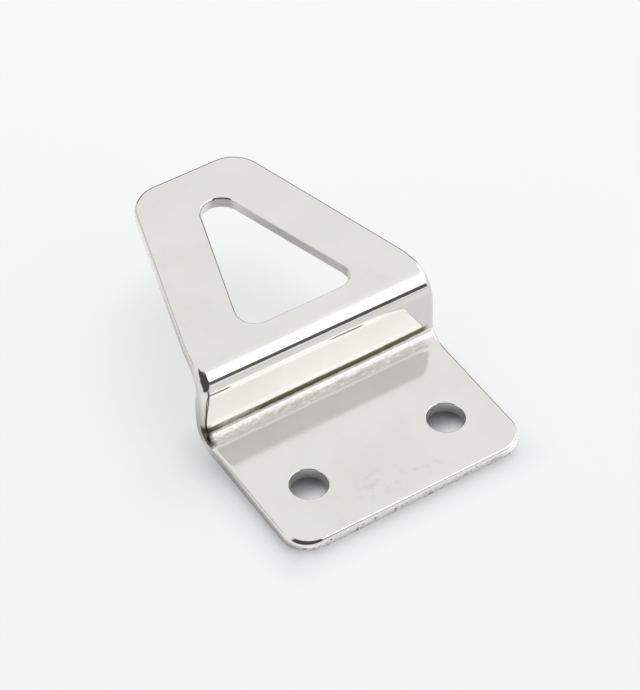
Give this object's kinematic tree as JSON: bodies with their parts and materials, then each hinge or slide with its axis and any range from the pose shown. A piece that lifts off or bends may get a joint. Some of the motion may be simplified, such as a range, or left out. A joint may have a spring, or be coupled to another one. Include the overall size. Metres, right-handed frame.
{
  "type": "picture hanger",
  "caption": "Folded stainless picture hanger: a drilled base plate, a short riser and a raised tapering tongue with a rounded triangular window.",
  "frame": {"origin": "middle of the screw row, on the underside of the base plate", "axes": "+Z out of the base plate's upper face towards the screw heads, +Y from the screws towards the tongue's tip, +X along the screw row"},
  "size_m": [0.03, 0.0473, 0.0109],
  "materials": {
    "polished_steel": "mirror-polished"
  },
  "bodies": {
    "root": {"hanger_plate": "polished_steel"}
  },
  "joints": []
}
